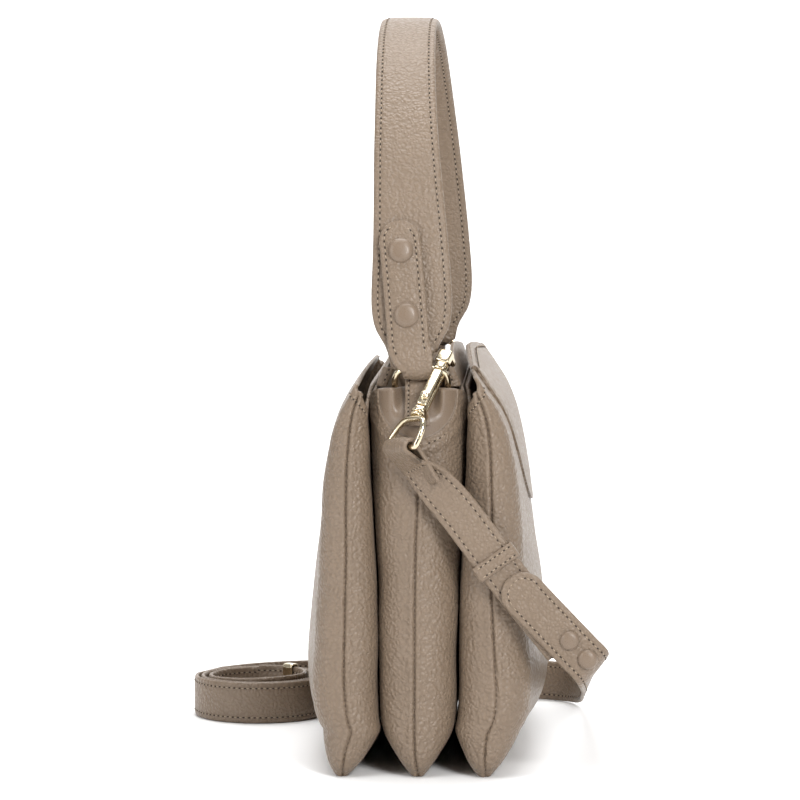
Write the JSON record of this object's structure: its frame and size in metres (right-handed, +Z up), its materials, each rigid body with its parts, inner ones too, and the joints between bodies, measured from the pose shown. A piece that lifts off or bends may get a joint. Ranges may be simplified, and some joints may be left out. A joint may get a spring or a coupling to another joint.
{
  "type": "pouch bag",
  "caption": "Leather bag of joined leaf-shaped pouches with a padded shoulder strap on rings and a hooked crossbody strap coiled on the floor.",
  "frame": {"origin": "middle of the centre pouch's bottom flat, on the surface that the bag stands on", "axes": "+Z up; +Y along the bag, away from the end that holds the hook; +X across the pouches, towards the pouch with the flap"},
  "size_m": [0.2169, 0.2929, 0.3684],
  "materials": {
    "pebbled_leather": "pebbled, semi-matt, taupe",
    "smooth_leather": "smooth, satin, taupe",
    "strap_leather": "pebbled with painted edges and stitching",
    "pale_gold": "polished pale gold plating"
  },
  "bodies": {
    "bag": {"pouch_centre": "pebbled_leather", "pouch_left": "pebbled_leather", "pouch_right": "pebbled_leather", "gusset_patch_near": "smooth_leather", "gusset_patch_far": "smooth_leather", "top_band_left": "pebbled_leather", "top_band_right": "pebbled_leather", "front_flap": "pebbled_leather", "d_ring_near": "pale_gold", "d_ring_far": "pale_gold", "ring_tab_near": "pebbled_leather", "ring_tab_far": "pebbled_leather", "shoulder_strap": "strap_leather", "snap_near_lower": "smooth_leather", "snap_near_upper": "smooth_leather", "snap_far_lower": "smooth_leather", "snap_far_upper": "smooth_leather", "hook_body": "pale_gold", "hook_eye": "pale_gold", "strap_short": "strap_leather", "strap_long": "strap_leather", "keeper": "strap_leather", "slider": "pale_gold", "cross_snap_inner": "smooth_leather", "cross_snap_outer": "smooth_leather"},
    "gate": {"hook_gate": "pale_gold"}
  },
  "joints": [
    {"name": "hook_gate_hinge", "type": "hinge", "parent": "bag", "child": "gate", "pos_m": [0.00244, -0.13511, 0.1814], "axis": [-0.9132, 0.3576, 0.1953], "range_deg": [0, 13], "stiffness_Nm_per_rad": 0.01, "springref_deg": -11.46}
  ]
}
